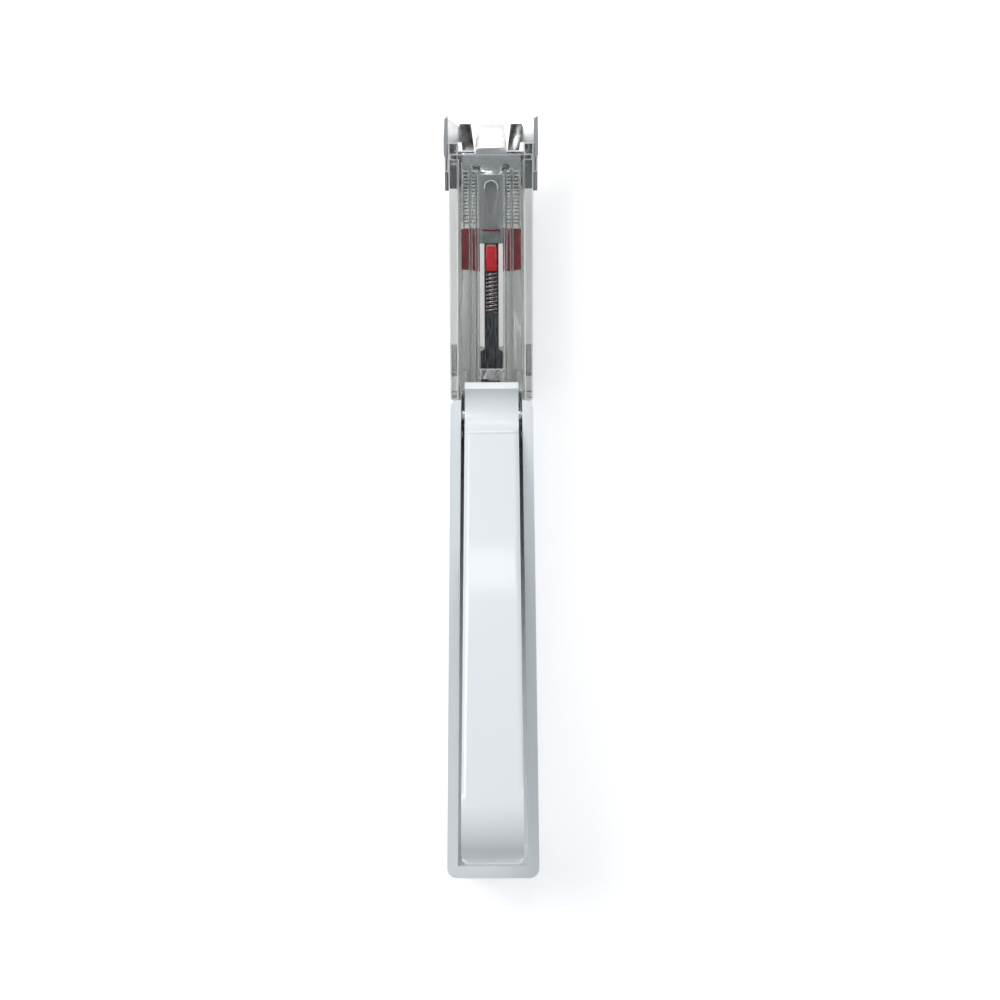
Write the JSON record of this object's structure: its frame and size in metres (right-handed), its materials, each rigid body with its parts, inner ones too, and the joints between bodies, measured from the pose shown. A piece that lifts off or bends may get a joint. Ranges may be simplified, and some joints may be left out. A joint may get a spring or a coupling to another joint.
{
  "type": "skin stapler",
  "caption": "Disposable skin stapler: white channel handle with sprung squeeze trigger, clear head with staple pack, red follower and stamped steel nose.",
  "frame": {"origin": "middle of the bounding box at the level of the handle's back, on which the stapler lies", "axes": "+Y towards the nose, +Z towards the trigger side, +X across the width"},
  "size_m": [0.0202, 0.164, 0.0432],
  "materials": {
    "white_plastic": "glossy injection-moulded white",
    "clear_plastic": "clear polished moulding, faint green-grey tint",
    "red_plastic": "opaque red moulding",
    "inner_plastic": "plain white slide block",
    "polished_steel": "bright stamped stainless steel",
    "staple_wire": "drawn stainless wire",
    "spring_steel": "brushed spring steel, lengthways grain"
  },
  "bodies": {
    "frame": {"handle_body": "white_plastic", "trigger_pin": "polished_steel", "spigot_pins": "polished_steel", "head_frame": "clear_plastic", "cartridge_tray": "clear_plastic", "cartridge_cover": "clear_plastic", "channel_tongue": "clear_plastic", "anvil_plate": "polished_steel", "nose_plate": "polished_steel", "nose_rivets": "polished_steel", "spring_strip": "spring_steel", "lifter_spring": "spring_steel", "staple_stack": "staple_wire", "feed_spring": "spring_steel", "return_spring": "spring_steel"},
    "trigger": {"trigger_lever": "white_plastic", "drive_pin": "polished_steel"},
    "driver": {"driver_blade": "spring_steel", "driver_carrier": "inner_plastic", "lead_staple": "staple_wire"},
    "follower": {"follower": "red_plastic"}
  },
  "joints": [
    {"name": "trigger_hinge", "type": "hinge", "parent": "frame", "child": "trigger", "pos_m": [0, 0.01704, 0.0172], "axis": [1, 0, 0], "range_deg": [0, 15], "stiffness_Nm_per_rad": 1, "deforming": ["return_spring"]},
    {"name": "driver_slide", "type": "slide", "parent": "frame", "child": "driver", "axis": [0, 0.9903, 0.1392], "range_m": [0, 0.00318]},
    {"name": "follower_slide", "type": "slide", "parent": "frame", "child": "follower", "axis": [0, 0.9903, 0.1392], "range_m": [0, 0.0102], "stiffness_N_per_m": 20, "deforming": ["feed_spring", "staple_stack"]}
  ],
  "couplings": [
    {"joint": "trigger_hinge", "follows": "driver_slide", "rad_per_m": 82.335}
  ]
}
